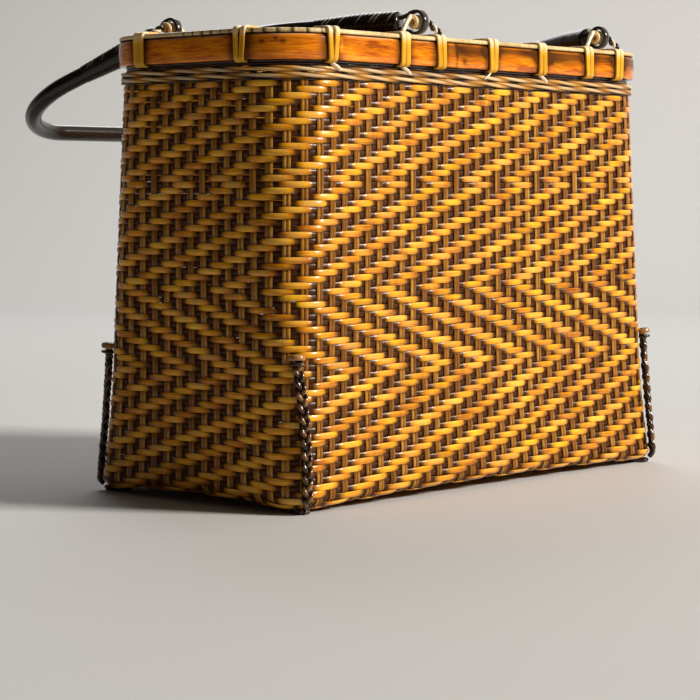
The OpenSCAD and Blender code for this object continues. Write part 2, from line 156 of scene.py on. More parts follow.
def evenly(path, spacing):
    way = wayAlong(path)
    places = np.linspace(0, way[-1], max(2, int(round(way[-1] / spacing)) + 1))
    return np.stack([np.interp(places, way, path[:, axis]) for axis in range(path.shape[1])], -1)


def smoothLine(points, spacing):
    # a soft curve through a few points
    points = np.asarray(points, float)
    ends = np.concatenate([2 * points[:1] - points[1:2], points, 2 * points[-1:] - points[-2:-1]])
    path = []
    for before, here, there, after in zip(ends[:-3], ends[1:-2], ends[2:-1], ends[3:]):
        square = 2 * before - 5 * here + 4 * there - after
        cube = 3 * here - before - 3 * there + after
        for t in np.arange(0, 1, meshing["curveStep"]):
            path.append(0.5 * (2 * here + (there - before) * t + square * t ** 2 + cube * t ** 3))
    path.append(points[-1])
    return evenly(np.array(path), spacing)


def carriedFrame(path):
    # side and up vectors that follow a path without twisting
    ahead = unit(np.gradient(path, axis=0))
    start = upright if abs(ahead[0] @ upright) < meshing["nearlyUpright"] else np.array([1.0, 0.0, 0.0])
    side = [unit(np.cross(ahead[0], start))]
    for direction in ahead[1:]:
        side.append(unit(side[-1] - direction * (side[-1] @ direction)))
    side = np.array(side)
    return side, np.cross(ahead, side)


def circle(turn, radius):
    return np.stack([radius * np.cos(turn), radius * np.sin(turn)], -1)


def roundProfile(halfWidth, halfHeight, sides=8):
    turn = fullTurn * (np.arange(sides) + 0.5) / sides
    return circle(turn, 1) * (halfWidth, halfHeight)


def strand(path, halfWidth, halfHeight, seed, age, blunt=0.6):
    # a free strand with its ends drawn in
    side, up = carriedFrame(path)
    way = wayAlong(path)
    fromEnd = np.minimum(way, way[-1] - way)
    tip = meshing["tipScale"]
    scale = np.clip(tip + (1 - tip) * np.sqrt(np.clip(fromEnd / blunt, 0, 1)), 0, 1)
    profile = roundProfile(halfWidth, halfHeight)[None] * scale[:, None, None]
    return sweepStrip(path, side, up, profile, (way, seed), age)


# Finishes: split bamboo, rattan and cane under lacquer

lacquer = {
    "streakDetail": 5.0, "patchDetail": 3.0, "grainRoughness": 0.6, "bumpDepth": 0.0003,
    "recessAges": (-0.9, -0.2), "recessShare": 0.1, "roughness": 0.09, "specular": 0.15,
}


def caneFinish(name, look):
    finish = bpy.data.materials.new(name)
    finish.use_nodes = True
    nodes = finish.node_tree.nodes
    skin = nodes["Principled BSDF"]

    def fill(node, sources):
        # each source is a socket to link from or a constant value
        for socket, source in sources.items():
            if isinstance(source, bpy.types.NodeSocket):
                finish.node_tree.links.new(source, node.inputs[socket])
            else:
                node.inputs[socket].default_value = source

    def made(kind, sources, **settings):
        node = nodes.new("ShaderNode" + kind)
        for key, value in settings.items():
            setattr(node, key, value)
        fill(node, sources)
        return node.outputs

    fibre = made("Attribute", {}, attribute_name="fibre")["Vector"]
    age = made("Attribute", {}, attribute_name="age")["Fac"]

    def grain(scale, detail):
        stretch = made("Mapping", {"Vector": fibre, "Scale": scale})["Vector"]
        return made("TexNoise", {"Vector": stretch, "Scale": 1.0, "Detail": detail,
                                 "Roughness": lacquer["grainRoughness"]})["Fac"]

    streaks = grain(look["streaks"], lacquer["streakDetail"])
    patches = grain(look["patches"], lacquer["patchDetail"])
    blend = made("Mix", {"Factor": look["patchShare"], "A": streaks, "B": patches})["Result"]
    ramp = nodes.new("ShaderNodeValToRGB")
    tones = look["tones"]
    while len(ramp.color_ramp.elements) < len(tones):
        ramp.color_ramp.elements.new(0.5)
    for element, (place, *tone) in zip(ramp.color_ramp.elements, tones):
        element.position = place
        element.color = (*tone, 1.0)
    fill(ramp, {"Fac": blend})
    colour = ramp.outputs["Color"]
    # the dark end colour serves the material's dark tone and marks and also painted shade; the pale end
    # serves its pale tone and wear and also painted highlights
    for limit, tone in ((-1.0, look["darkToneAndShade"]), (1.0, look["paleToneAndHighlight"])):
        amount = made("MapRange", {"Value": age, "From Max": limit})["Result"]
        colour = made("Mix", {"Factor": amount, "A": colour, "B": (*tone, 1.0)}, data_type="RGBA")["Result"]
    smooth, rough = look["gloss"]
    gloss = made("MapRange", {"Value": patches, "To Min": smooth, "To Max": rough})["Result"]
    bump = made("Bump", {"Height": streaks, "Strength": look["bump"],
                         "Distance": lacquer["bumpDepth"]})["Normal"]
    # the coat thins where shade is painted into the recesses, so they keep few reflections as shade would
    darkest, palest = lacquer["recessAges"]
    coat = made("MapRange", {"Value": age, "From Min": darkest, "From Max": palest,
                             "To Min": lacquer["recessShare"] * look["coat"],
                             "To Max": look["coat"]})["Result"]
    fill(skin, {"Base Color": colour, "Roughness": gloss, "Normal": bump, "Coat Weight": coat,
                "Coat Roughness": lacquer["roughness"], "Specular IOR Level": lacquer["specular"]})
    return finish


amberStrip = caneFinish("amberStrip", {
    "streaks": (0.06, 2.6, 7.0), "patches": (0.05, 0.05, 3.1), "patchShare": 0.55,
    "tones": [(0.36, 0.32, 0.074, 0.004), (0.45, 0.62, 0.200, 0.004), (0.54, 0.84, 0.350, 0.004),
              (0.65, 0.96, 0.560, 0.010)],
    "darkToneAndShade": (0.060, 0.018, 0.003), "paleToneAndHighlight": (0.95, 0.64, 0.14),
    "gloss": (0.22, 0.34), "bump": 0.3, "coat": 0.4,
})
darkStake = caneFinish("darkStake", {
    "streaks": (0.08, 2.8, 5.0), "patches": (0.03, 0.05, 2.3), "patchShare": 0.5,
    "tones": [(0.32, 0.11, 0.034, 0.004), (0.48, 0.27, 0.095, 0.008), (0.64, 0.48, 0.200, 0.014)],
    "darkToneAndShade": (0.050, 0.018, 0.004), "paleToneAndHighlight": (0.78, 0.44, 0.08),
    "gloss": (0.24, 0.40), "bump": 0.25, "coat": 0.25,
})
borderTwine = caneFinish("borderTwine", {
    "streaks": (0.04, 2.4, 6.0), "patches": (0.018, 0.05, 4.0), "patchShare": 0.6,
    "tones": [(0.34, 0.060, 0.022, 0.005), (0.45, 0.30, 0.115, 0.014), (0.55, 0.58, 0.27, 0.035),
              (0.66, 0.82, 0.56, 0.22)],
    "darkToneAndShade": (0.018, 0.008, 0.003), "paleToneAndHighlight": (0.86, 0.70, 0.44),
    "gloss": (0.26, 0.44), "bump": 0.3, "coat": 0.2,
})
smokedHoop = caneFinish("smokedHoop", {
    "streaks": (0.08, 1.3, 3.0), "patches": (0.06, 0.3, 1.7), "patchShare": 0.5,
    "tones": [(0.36, 0.30, 0.055, 0.004), (0.46, 0.60, 0.145, 0.004), (0.55, 0.82, 0.240, 0.005),
              (0.66, 0.94, 0.360, 0.010)],
    "darkToneAndShade": (0.050, 0.016, 0.004), "paleToneAndHighlight": (0.92, 0.74, 0.48),
    "gloss": (0.17, 0.30), "bump": 0.10, "coat": 0.45,
})
strawCane = caneFinish("strawCane", {
    "streaks": (0.9, 0.25, 3.0), "patches": (0.05, 0.2, 2.0), "patchShare": 0.45,
    "tones": [(0.30, 0.34, 0.19, 0.065), (0.48, 0.66, 0.46, 0.19), (0.66, 0.82, 0.66, 0.36)],
    "darkToneAndShade": (0.030, 0.014, 0.006), "paleToneAndHighlight": (0.90, 0.80, 0.56),
    "gloss": (0.3, 0.5), "bump": 0.3, "coat": 0.1,
})
goldRattan = caneFinish("goldRattan", {
    "streaks": (0.06, 2.0, 5.0), "patches": (0.03, 0.1, 2.6), "patchShare": 0.4,
    "tones": [(0.30, 0.60, 0.24, 0.012), (0.48, 0.82, 0.39, 0.018), (0.66, 0.90, 0.52, 0.040)],
    "darkToneAndShade": (0.13, 0.055, 0.010), "paleToneAndHighlight": (0.93, 0.86, 0.66),
    "gloss": (0.24, 0.40), "bump": 0.25, "coat": 0.2,
})
darkPlait = caneFinish("darkPlait", {
    "streaks": (0.1, 2.0, 4.0), "patches": (0.06, 0.2, 2.2), "patchShare": 0.45,
    "tones": [(0.36, 0.010, 0.004, 0.002), (0.5, 0.036, 0.013, 0.004), (0.66, 0.15, 0.052, 0.010)],
    "darkToneAndShade": (0.006, 0.003, 0.002), "paleToneAndHighlight": (0.66, 0.32, 0.09),
    "gloss": (0.14, 0.28), "bump": 0.25, "coat": 1.0,
})
blackWrap = caneFinish("blackWrap", {
    "streaks": (0.5, 0.6, 3.0), "patches": (0.02, 0.1, 1.3), "patchShare": 0.5,
    "tones": [(0.34, 0.0085, 0.006, 0.005), (0.5, 0.018, 0.012, 0.009), (0.68, 0.040, 0.026, 0.018)],
    "darkToneAndShade": (0.004, 0.003, 0.003), "paleToneAndHighlight": (0.42, 0.36, 0.28),
    "gloss": (0.18, 0.34), "bump": 0.15, "coat": 0.6,
})
print("finishes made")


# The woven wall: a rounded rectangle at each height, with a rolled bottom edge

bag = {
    "base": (299.0, 145.0, 13.0), "waist": (297.0, 134.5, 19.0), "mouth": (299.6, 130.4, 34.0),
    "waistHeight": 76.0, "mouthHeight": 215.5, "flarePower": 1.6, "lift": 3.0, "edge": 5.0, "arch": 2.5,
}


def halfSizes(z):
    # half length, half depth and corner radius of the wall at a height
    low = np.maximum(0, 1 - z / bag["waistHeight"]) ** bag["flarePower"]
    high = np.clip((z - bag["waistHeight"]) / (bag["mouthHeight"] - bag["waistHeight"]), 0, 1)
    sizes = zip(bag["base"], bag["waist"], bag["mouth"], (0.5, 0.5, 1.0))
    return [(waist + (base - waist) * low + (mouth - waist) * high) * part
            for base, waist, mouth, part in sizes]


def sizesAt(z):
    return [float(size) for size in halfSizes(np.asarray(z, float))]


def wallAt(share, height):
    # share of the way round from the middle of the front to the right
    # heights below the edge roll under the base
    share, height = np.broadcast_arrays(np.asarray(share, float), np.asarray(height, float))
    edgeTop = bag["lift"] + bag["edge"]
    roll = np.clip(quarterTurn - (edgeTop - height) / bag["edge"], 0, quarterTurn)
    z = np.where(height < edgeTop, bag["lift"] + bag["edge"] * (1 - np.cos(roll)), height)
    a, b, r = halfSizes(z)
    front, end, bend = a - r, b - r, r * quarterTurn
    quarter = front + bend + end
    way = (share % 1.0) * 4 * quarter
    turned = np.where(way >= 2 * quarter, -1.0, 1.0)
    way = way % (2 * quarter)
    mirrored = np.where(way > quarter, -1.0, 1.0)
    way = np.where(way > quarter, 2 * quarter - way, way)
    turn = np.clip((way - front) / r, 0, quarterTurn)
    past = np.maximum(way - front - bend, 0)
    x = (np.minimum(way, front) + r * np.sin(turn)) * turned
    y = (-end - r * np.cos(turn) + past) * mirrored * turned
    outX = np.sin(turn) * turned
    outY = -np.cos(turn) * mirrored * turned
    bow = np.where(way < front, 1 - (way / front) ** 2, np.where(past > 0, 1 - ((end - past) / end) ** 2, 0))
    z = z + bag["arch"] * bow * np.maximum(0, 1 - z / bag["waistHeight"])
    flat = np.stack([outX, outY, np.zeros_like(outX)], -1)
    inset = bag["edge"] * (1 - np.sin(roll))
    point = np.stack([x, y, z], -1) - flat * inset[..., None]
    sine, cosine = np.sin(roll)[..., None], np.cos(roll)[..., None]
    return point, flat * sine - upright * cosine, flat * cosine + upright * sine


def wander(way, size, waves=(2, 3, 5, 7, 11, 17)):
    # a small smooth drift that closes on itself round the bag
    drift = np.zeros_like(way)
    for count in waves:
        drift += np.sin(fullTurn * (count * way + chance.random())) * chance.normal() / math.sqrt(count)
    return drift * size / 2


def toned(signal, tone, drift=0.0):
    # the tone value of a surface, own tone and painted light together; tone holds gain, level, darkest and
    # palest
    gain, level, darkest, palest = tone
    return np.clip(gain * signal + level + drift, darkest, palest)


def bell(offset, width):
    return np.exp(-(offset / width) ** 2)


# Twill: each weaver passes over two stakes and under two; the step turns back twice and skips once

weave = {
    "stakes": 96, "rows": 66, "edgeRows": 3, "bottom": 8.0, "top": 206.0, "repeat": 4, "turnLow": 65.0,
    "turnHigh": 105.0, "skip": 158.0, "skipStep": 2, "bite": 2.1, "middle": -0.05,
}
rowPitch = (weave["top"] - weave["bottom"]) / weave["rows"]


def rowHeight(row):
    return weave["bottom"] + (row + 0.5) * rowPitch


def rowAt(height):
    return int(round((height - weave["bottom"]) / rowPitch))


def twillStep(row):
    low, high = rowAt(weave["turnLow"]), rowAt(weave["turnHigh"])
    skipped = weave["skipStep"] if row >= rowAt(weave["skip"]) else 0
    return row - 2 * min(max(row - low, 0), high - low) + skipped


def weaverWave(place, row):
    # 1 where the weaver lies over the stakes, -1 where it lies under
    phase = (place - twillStep(row)) % weave["repeat"]
    return np.tanh(weave["bite"] * np.cos(quarterTurn * (phase - 0.5))) / math.tanh(weave["bite"])


weaver = {
    "perStake": 4, "girth": 820.0, "lift": 0.66, "liftDrift": 0.08, "rowDrift": 0.16, "seedStep": 1.37,
    "height": 2.89, "thick": 0.9, "heightRange": (0.95, 1.03), "crossingHeight": 0.95, "floatHeight": 0.11,
    "shape": [(-1, -0.82), (0.2, -1), (0.92, -0.7), (1.12, 0), (0.92, 0.7), (0.2, 1), (-1, 0.82)],
    "tone": (1.4, -1.25, -1, 0.45), "tint": 0.15, "toneDrift": 0.12, "toneWaves": (5, 9, 23, 31),
    "edgeFade": 0.2, "tipFade": 0.8, "innerTone": (-1.1, -0.7, -0.95, -0.4),
}


def weaverRow(row):
    count = weave["stakes"] * weaver["perStake"]
    place = np.arange(count) / weaver["perStake"]
    share = place / weave["stakes"]
    wave = weaverWave(place, row)
    point, outward, upward = wallAt(share, rowHeight(row) + wander(share, weaver["rowDrift"]))
    lift = weaver["lift"] + wander(share, weaver["liftDrift"])
    path = point + outward * (weave["middle"] + lift * wave)[:, None]
    high = weaver["height"] / 2 * chance.uniform(*weaver["heightRange"])
    shape = np.array(weaver["shape"]) * (weaver["thick"] / 2, 1)
    profile = np.repeat(shape[None], count, 0)
    profile[..., 1] *= (high * (weaver["crossingHeight"] + weaver["floatHeight"] * wave ** 2))[:, None]
    floats = np.floor((place - twillStep(row) + 1) / weave["repeat"]).astype(int)
    tint = chance.normal(0, weaver["tint"], weave["stakes"])[floats]
    drift = tint + wander(share, weaver["toneDrift"], weaver["toneWaves"])
    # painted light: a strip is painted darker where it dives under the stakes and at the tips of its floats,
    # as shade; its top edge paler and its lower edge darker, as light from above falls; its inner face dark,
    # as shade; a random tint per float comes on top
    across = shape[None, :, 1]
    tips = weaver["tipFade"] * np.clip(1 - wave, 0, 1)[:, None] * np.abs(across)
    outer = toned(wave[:, None], weaver["tone"], drift[:, None] - tips + weaver["edgeFade"] * across)
    inner = toned(wave, weaver["innerTone"])
    age = np.where(shape[None, :, 0] > 0, outer, inner[:, None])
    fibre = (share * weaver["girth"], row * weaver["seedStep"])
    return sweepStrip(path, outward, upward, profile, fibre, age, closed=True)


stake = {
    "lift": 0.36, "width": 1.9, "thick": 0.9, "split": 0.116, "drift": 0.00012, "driftHeight": 230.0,
    "shape": [(-1, -0.8), (0.2, -1), (1, -0.45), (1, 0.45), (0.2, 1), (-1, 0.8)],
    "topHeights": (208.2, 211.2, 214.0, 226.0), "topOut": (-0.6, -0.7, -1.0, -1.4),
    "topPaintedShade": (-0.7, -0.8, -0.9, -0.95), "tone": (-0.6, -0.55, -0.95, 0.45), "tint": 0.24,
}


def stakeStrand(number, side):
    # one of the two splints of a stake, from the rolled edge up between the hoops
    rows = np.arange(-weave["edgeRows"], weave["rows"])
    heights = np.concatenate([rowHeight(rows), stake["topHeights"]])
    wave = np.array([weaverWave(np.array(float(number)), row) for row in rows])
    out = np.concatenate([weave["middle"] - stake["lift"] * wave, stake["topOut"]])
    share = (number + side * stake["split"]) / weave["stakes"]
    share = share + wander(heights / stake["driftHeight"], stake["drift"], (1, 2, 3))
    point, outward, upward = wallAt(share, heights)
    profile = np.array(stake["shape"]) * (stake["thick"] / 2, stake["width"] / 2)
    # painted shade: a splint is darker where it passes under the weavers, and its tops behind the hoop are
    # painted dark as the hoop's shade; a random tint per splint comes on top
    tone = toned(wave, stake["tone"], chance.normal(0, stake["tint"]))
    age = np.concatenate([tone, stake["topPaintedShade"]])[:, None]
    return sweepStrip(point + outward * out[:, None], outward, np.cross(upward, outward), profile,
                      (heights, number * 2 + side * 0.5), age)


weaverRows = list(range(-weave["edgeRows"], weave["rows"]))
halfWay = len(weaverRows) // 2
for name, chosen in (("weavers_lower", weaverRows[:halfWay]), ("weavers_upper", weaverRows[halfWay:])):
    strips = [weaverRow(row) for row in chosen]
    addPiece(name, strips, amberStrip, "bag", ["woven_body"], crisp=True)
stakes = [stakeStrand(number, side) for number in range(weave["stakes"]) for side in (-1, 1)]
addPiece("stakes", stakes, darkStake, "bag", ["woven_body"], crisp=True)


# The base: a flat mat of wide splints inside the rolled edge

mat = {
    "pitch": 6.0, "width": 5.5, "thick": 0.8, "lift": 0.42, "inset": 4.2, "rise": 0.5, "bite": 1.6,
    "perPitch": 4, "shape": [(-1, 0), (-0.9, 1), (0.9, 1), (1, 0), (0.9, -1), (-0.9, -1)],
    "age": -0.45, "seedStep": 1.9,
}


def matSplints(long):
    a, b, r = sizesAt(bag["lift"])
    length, width = (a, b) if long else (b, a)
    count = int((width - mat["inset"]) / mat["pitch"])
    profile = np.array(mat["shape"]) * (mat["width"] / 2, mat["thick"] / 2)
    parts = []
    for line in range(-count, count + 1):
        place = line * mat["pitch"]
        past = max(0.0, abs(place) - (width - r))
        reach = length - r + math.sqrt(max(r * r - past * past, 0)) - mat["inset"]
        way = np.linspace(-reach, reach, int(reach / mat["pitch"] * mat["perPitch"]) + 2)
        phase = (way / mat["pitch"] + (-line if long else line)) % weave["repeat"]
        wave = np.tanh(mat["bite"] * np.cos(quarterTurn * (phase - 0.5 + (0 if long else 2))))
        x, y = (way, np.full_like(way, place)) if long else (np.full_like(way, place), way)
        bow = 1 - np.clip(np.abs(x) / a, 0, 1) ** 2 * np.clip(np.abs(y) / b, 0, 1) ** 2
        z = bag["lift"] + mat["rise"] + bag["arch"] * bow + wave * mat["lift"]
        path = np.stack([x, y, z], -1)
        side = repeated([0.0, 1.0, 0.0] if long else [1.0, 0.0, 0.0], len(way))
        fibre = (way, line * mat["seedStep"])
        parts.append(sweepStrip(path, side, repeated(upright, len(way)), profile, fibre, mat["age"]))
    return parts


addPiece("base_mat", matSplints(True) + matSplints(False), amberStrip, "bag", ["woven_body"])


# The twined border, and the plain rows under the hoop whose dark colour is painted shade

border = {
    "heights": (208.2, 211.2), "girth": 806.0, "out": 1.55, "turns": 12, "strands": 3, "swing": 0.62,
    "rise": 0.80, "half": (0.62, 0.86), "samples": 300, "turnDrift": 0.5, "outDrift": 0.12,
    "riseDrift": 0.15, "tone": (1.1, -0.62, -1, 0.55), "toneDrift": 0.6, "toneWaves": (7, 13, 19, 31),
    "seedStep": 3.7,
}


def twinedCord(height):
    share = np.arange(border["samples"]) / border["samples"]
    point, outward, upward = wallAt(share, height)
    profile = roundProfile(*border["half"])
    parts = []
    for number in range(border["strands"]):
        turn = -fullTurn * (border["turns"] * share + number / border["strands"])
        turn = turn + wander(share, border["turnDrift"])
        out = border["out"] + border["swing"] * np.cos(turn) + wander(share, border["outDrift"])
        rise = border["rise"] * np.sin(turn) + wander(share, border["riseDrift"])
        path = point + outward * out[:, None] + upward * rise[:, None]
        drift = wander(share, border["toneDrift"], border["toneWaves"])
        # painted light: a strand is paler where it swings out, as painted highlight, and darker where it
        # turns back in, as painted shade, with a random drift of tone
        age = toned(np.cos(turn), border["tone"], drift)[:, None]
        fibre = (share * border["girth"], height + border["seedStep"] * number)
        parts.append(sweepStrip(path, outward, upward, profile, fibre, age, closed=True))
    return parts


plain = {"heights": (206.5, 213.7, 215.2), "samples": 384, "out": -0.5, "swing": 0.35, "half": (0.45, 0.95),
         "sides": 6, "age": -0.3}


def plainRow(height):
    share = np.arange(plain["samples"]) / plain["samples"]
    point, outward, upward = wallAt(share, height)
    wave = np.cos(halfTurn * share * weave["stakes"] + height)
    path = point + outward * (plain["out"] + plain["swing"] * wave)[:, None]
    profile = roundProfile(*plain["half"], plain["sides"])
    fibre = (share * border["girth"], height)
    return sweepStrip(path, outward, upward, profile, fibre, plain["age"], closed=True)


cords = [part for height in border["heights"] for part in twinedCord(height)]
addPiece("border_twine", cords, borderTwine, "bag", ["twined_border"])
# painted shade: these plain rows are dark to stand for the shade under the hoop
darkRows = [plainRow(height) for height in plain["heights"]]
addPiece("plain_rows", darkRows, darkPlait, "bag", ["woven_body"])


# The rim: two bent bamboo hoops under a crowned cane, bound by pairs of split rattan

rim = {
    "bottom": 215.5, "top": 227.8, "lineHeight": 216.5, "samples": 800, "girth": 801.6,
    "lashFront": (-120.8, -69.0, -41.0, 1.0, 43.0, 85.0, 113.0), "lashEnd": (169.4, 237.4),
}
lashWays = [way + turn * rim["girth"] / 2 for turn in (0, 1) for way in rim["lashFront"] + rim["lashEnd"]]


def fromMiddle(way):
    # signed way from the middle of the nearer long face
    return (way + rim["girth"] / 4) % (rim["girth"] / 2) - rim["girth"] / 4


def wayApart(way, place):
    # signed way from a place on the rim, by the shorter way round
    return (way - place + rim["girth"] / 2) % rim["girth"] - rim["girth"] / 2


def rimLine():
    # the mouth's line at height 0, with its outward directions
    share = np.arange(rim["samples"]) / rim["samples"]
    point, outward, _ = wallAt(share, rim["lineHeight"])
    point[:, 2] = 0
    return share, share * rim["girth"], point, outward


hoop = {
    "outer": (0.15, 3.55), "inner": (-6.55, -3.15), "edge": 0.9, "topEdge": 1.7, "crown": 0.3,
    "cornerSteps": 5, "faceSteps": 9, "drift": 0.1,
    "joint": -29.5, "jointWidth": 2.2, "jointSwell": 0.3, "faceDepth": 0.1,
    "crackOff": 1.2, "crackWidth": 0.9, "crackAge": 0.7,
    "lashReach": 3.6, "lashFade": 3.4, "nearLashDarkening": 0.85,
    "smoked": (-33.0, 146.0), "smokeFades": (4, 8), "smokeLeast": 0.12, "smokeGain": 0.78, "smokeMost": 0.95,
    "smokeDrift": 0.45, "smokeWaves": (9, 17, 29, 43, 61, 83),
    "bandStart": 0.36, "bandSway": 0.12, "bandWaves": 11, "bandFade": 0.34,
    "glint": 0.55, "glintStart": 0.90, "glintRise": 0.06, "glintFall": 0.02,
    "ageRange": (-0.95, 0.8), "innerAge": -0.45,
    # each mark: way round, height, half width, half height, tone; the dark ones are spots and scars, the
    # pale one beside a lashing is a painted highlight
    "marks": [(-153.0, 224.0, 1.1, 1.0, -1.1), (-147.0, 225.4, 1.0, 0.9, -1.1),
              (-144.0, 224.0, 1.2, 1.0, -1.2), (-22.0, 218.7, 1.8, 1.3, -0.9),
              (52.0, 221.0, 1.2, 0.8, -0.6), (-115.6, 223.5, 1.6, 4.5, 0.9)],
}


def hoopProfile(inside, outside):
    # anticlockwise from the lower inner corner; the outer face swells a little
    low, high, edge, topEdge = rim["bottom"], rim["top"], hoop["edge"], hoop["topEdge"]
    corners = [(inside + edge, low + edge, edge, 180), (outside - edge, low + edge, edge, 270),
               (outside - topEdge, high - topEdge, topEdge, 0), (inside + edge, high - edge, edge, 90)]
    points = []
    for number, (n, z, bend, start) in enumerate(corners):
        for turn in np.radians(np.linspace(start, start + 90, hoop["cornerSteps"])):
            points.append((n + bend * math.cos(turn), z + bend * math.sin(turn)))
        if number == 1:
            for part in np.linspace(0, 1, hoop["faceSteps"] + 2)[1:-1]:
                swell = hoop["crown"] * math.sin(halfTurn * part)
                points.append((outside + swell, low + edge + (high - low - edge - topEdge) * part))
    return np.array(points)


def smokeStain(share, signed, heights):
    # dark smoke in patches over the upper part of one stretch of each long face
    first, last = hoop["smoked"]
    firstFade, lastFade = hoop["smokeFades"]
    zone = (np.tanh((signed - first) / firstFade) - np.tanh((signed - last) / lastFade)) / 2
    patches = wander(share, hoop["smokeDrift"], hoop["smokeWaves"])
    smoke = np.clip(hoop["smokeLeast"] + hoop["smokeGain"] * zone + patches, 0, hoop["smokeMost"])
    sway = hoop["bandSway"] * np.sin(hoop["bandWaves"] * fullTurn * share)[:, None]
    band = np.clip((heights - hoop["bandStart"] - sway) / hoop["bandFade"], 0, 1)
    return smoke[:, None] * band


def bentHoop(inside, outside, seed, shaded):
    share, way, point, outward = rimLine()
    profile = hoopProfile(inside, outside)
    profiles = np.repeat(profile[None], len(share), 0)
    joint = bell(way - hoop["joint"] % rim["girth"], hoop["jointWidth"])
    swell = np.where(profile[:, 0] > outside - hoop["faceDepth"], joint[:, None] * hoop["jointSwell"], 0)
    profiles[..., 0] += swell + wander(share, hoop["drift"])[:, None]
    heights = (profile[:, 1] - rim["bottom"]) / (rim["top"] - rim["bottom"])
    signed = fromMiddle(way)
    # the hoop is darker towards each lashing
    toLash = np.abs(wayApart(way[:, None], np.array(lashWays)[None])).min(1)
    nearLash = bell(np.maximum(toLash - hoop["lashReach"], 0), hoop["lashFade"])[:, None]
    glint = hoop["glint"] * np.clip((heights - hoop["glintStart"]) / hoop["glintRise"], 0, 1)
    glint = glint * np.clip((1.0 - heights) / hoop["glintFall"], 0, 1)
    age = glint[None] * (1 - nearLash) - hoop["nearLashDarkening"] * nearLash - smokeStain(share, signed, heights)
    # the marks add dark spots and scars, and one painted highlight
    for spot, height, wide, high, amount in hoop["marks"]:
        nearSpot = bell(wayApart(way, spot), wide)[:, None]
        age = age + amount * nearSpot * bell(profile[:, 1] - height, high)
    crack = bell(signed - hoop["joint"] - hoop["crackOff"], hoop["crackWidth"])
    age = age - hoop["crackAge"] * crack[:, None]
    age = np.clip(age, *hoop["ageRange"]) if shaded else np.full_like(age, hoop["innerAge"])
    return sweepStrip(point, outward, repeated(upright, len(share)), profiles, (way, seed), age, closed=True)


cane = {
    "sides": (-7.35, 3.55), "bottom": 227.95, "top": 230.45, "bendSteps": 9, "seed": 3.0,
    "ticksEnd": -124.0, "tickFade": 3, "tickPitch": 6.2, "tickDrift": 3.0, "tickGain": 3, "tickLevel": -1.9,
    "tone": (-1.4, 0.1, -1, 0.6), "toneDrift": 0.5, "toneWaves": (5, 9, 13, 21),
    "underPaintedShade": (-1.2, 0, -1, 0.6), "underHeight": 0.6, "underFade": 0.4,
}


def topCane():
    # pale cane with rounded sides, dark tick marks on one stretch, and painted shade along its under side
    share, way, point, outward = rimLine()
    left, right = cane["sides"]
    half = (cane["top"] - cane["bottom"]) / 2
    turn = np.linspace(-quarterTurn, quarterTurn, cane["bendSteps"])
    outer = circle(turn, half) + (right - half, cane["bottom"] + half)
    profile = np.concatenate([outer, outer[::-1] * (-1, 1) + (left + right, 0)])
    ticked = np.clip((cane["ticksEnd"] - fromMiddle(way)) / cane["tickFade"], 0, 1)
    ripple = np.cos(way * fullTurn / cane["tickPitch"] + wander(share, cane["tickDrift"]))
    ticks = ticked * np.clip(ripple * cane["tickGain"] + cane["tickLevel"], 0, 1)
    # painted shade: the under side of the cane is darkened as shade
    under = np.clip((cane["bottom"] + cane["underHeight"] - profile[:, 1]) / cane["underFade"], 0, 1)
    age = toned(ticks, cane["tone"], wander(share, cane["toneDrift"], cane["toneWaves"]))[:, None]
    age = toned(under[None], cane["underPaintedShade"], age)
    fibre = (way, cane["seed"])
    return sweepStrip(point, outward, repeated(upright, len(share)), profile, fibre, age, closed=True)


for name, seed in (("outer", 1.0), ("inner", 5.0)):
    strip = bentHoop(*hoop[name], seed, name == "outer")
    addPiece(name + "_hoop", [strip], smokedHoop, "bag", ["rim_" + name + "_hoop"])
addPiece("top_cane", [topCane()], strawCane, "bag", ["rim_top_cane"])

lash = {
    "width": 3.6, "thick": 1.1, "split": 0.3, "out": 4.45, "inside": -8.15, "top": 231.25, "bottom": 214.7,
    "bend": 2.0, "bendSteps": 6, "spacing": 1.0, "start": 0.7, "end": -3.7, "lean": 0.035, "seedStep": 0.37,
    "shape": [(-1, -0.90), (-0.2, -1), (0.75, -0.92), (1, -0.6),
              (1, 0.6), (0.75, 0.92), (-0.2, 1), (-1, 0.90)],
    "tone": (2.2, -1.5, -0.2, 0.95), "insideAge": 0.2,
    # how a pair lies: spread, share of the width, share of the distance apart
    "close": (0.0, 0.95, 0.9), "splayed": (0.06, 0.78, 0.92), "splayedBefore": -100.0,
    "tails": ((-121.5, -1), (-70.0, -1), (2.0, 1), (42.0, -1)), "tailLean": 2, "tailSeedStep": 0.21,
    "tailPath": [(0.3, 1.2, 216.2), (0.7, 2.4, 214.0), (2.0, 3.1, 212.4), (3.4, 2.6, 210.6)],
    "tailHeight": 214.5, "tailSpacing": 0.8, "tailHalf": (0.5, 1.0), "tailAge": 0.75,
}
lashGap = (lash["width"] + lash["split"]) / 2


